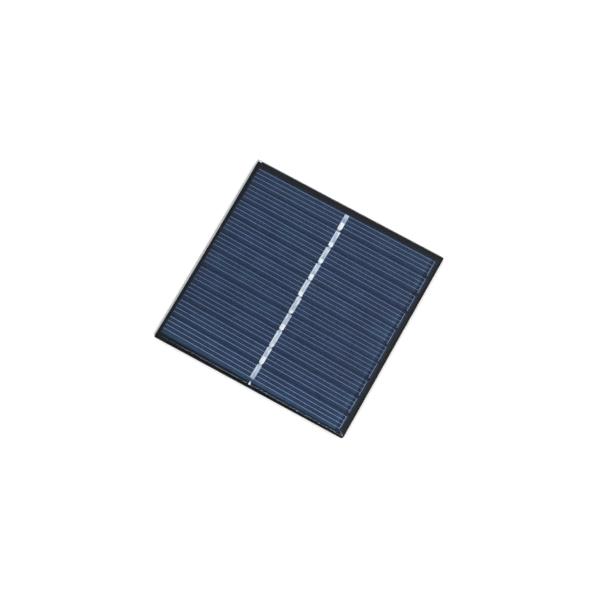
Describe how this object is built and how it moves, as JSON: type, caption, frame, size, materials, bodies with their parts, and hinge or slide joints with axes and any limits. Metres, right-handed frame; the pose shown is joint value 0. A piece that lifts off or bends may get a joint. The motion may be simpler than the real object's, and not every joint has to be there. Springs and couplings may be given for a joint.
{
  "type": "encapsulated mini solar panel",
  "caption": "Small square solar panel: silicon strips in series on a black circuit board under clear cast epoxy, with solder pads on the rear.",
  "frame": {"origin": "centre of the rear face, below the middle of the panel's outline", "axes": "+Z out of the face that takes the light, +X along the strips towards the closing line of their grid, -Y towards the negative terminal"},
  "size_m": [0.0804, 0.08, 0.003],
  "materials": {
    "laminate": "woven glass-epoxy laminate, satin, sawn edges",
    "solder_mask": "black solder mask, semi-gloss",
    "copper": "copper foil, hidden under mask or solder",
    "solder": "bright tin solder",
    "legend_ink": "white printed ink, matte",
    "bonding_film": "dark blue adhesive film",
    "silicon": "polycrystalline silicon with blue antireflection coat",
    "aluminium_paste": "sintered aluminium paste, matte grey",
    "silver_paste": "sintered silver paste, matte",
    "tinned_ribbon": "tin-coated copper ribbon, bright",
    "clear_epoxy": "clear cast epoxy, polished"
  },
  "bodies": {
    "root": {"board_core": "laminate", "front_solder_mask": "solder_mask", "rear_solder_mask": "solder_mask", "front_positive_pad": "copper", "front_negative_pad": "copper", "positive_via": "copper", "negative_via": "copper", "rear_positive_copper": "copper", "rear_negative_copper": "copper", "rear_positive_pad_finish": "solder", "rear_negative_pad_finish": "solder", "plus_mark": "legend_ink", "minus_mark": "legend_ink", "bonding_film": "bonding_film", "cell_01": "silicon", "cell_02": "silicon", "cell_03": "silicon", "cell_04": "silicon", "cell_05": "silicon", "cell_06": "silicon", "cell_07": "silicon", "cell_08": "silicon", "cell_09": "silicon", "cell_10": "silicon", "rear_contact_01": "aluminium_paste", "rear_contact_02": "aluminium_paste", "rear_contact_03": "aluminium_paste", "rear_contact_04": "aluminium_paste", "rear_contact_05": "aluminium_paste", "rear_contact_06": "aluminium_paste", "rear_contact_07": "aluminium_paste", "rear_contact_08": "aluminium_paste", "rear_contact_09": "aluminium_paste", "rear_contact_10": "aluminium_paste", "front_grid_01": "silver_paste", "front_grid_02": "silver_paste", "front_grid_03": "silver_paste", "front_grid_04": "silver_paste", "front_grid_05": "silver_paste", "front_grid_06": "silver_paste", "front_grid_07": "silver_paste", "front_grid_08": "silver_paste", "front_grid_09": "silver_paste", "front_grid_10": "silver_paste", "tab_ribbon_01": "tinned_ribbon", "tab_ribbon_02": "tinned_ribbon", "tab_ribbon_03": "tinned_ribbon", "tab_ribbon_04": "tinned_ribbon", "tab_ribbon_05": "tinned_ribbon", "tab_ribbon_06": "tinned_ribbon", "tab_ribbon_07": "tinned_ribbon", "tab_ribbon_08": "tinned_ribbon", "tab_ribbon_09": "tinned_ribbon", "positive_end_ribbon": "tinned_ribbon", "negative_end_ribbon": "tinned_ribbon", "busbar_solder_joints": "solder", "terminal_solder_joints": "solder", "clear_epoxy_cover": "clear_epoxy"}
  },
  "joints": []
}
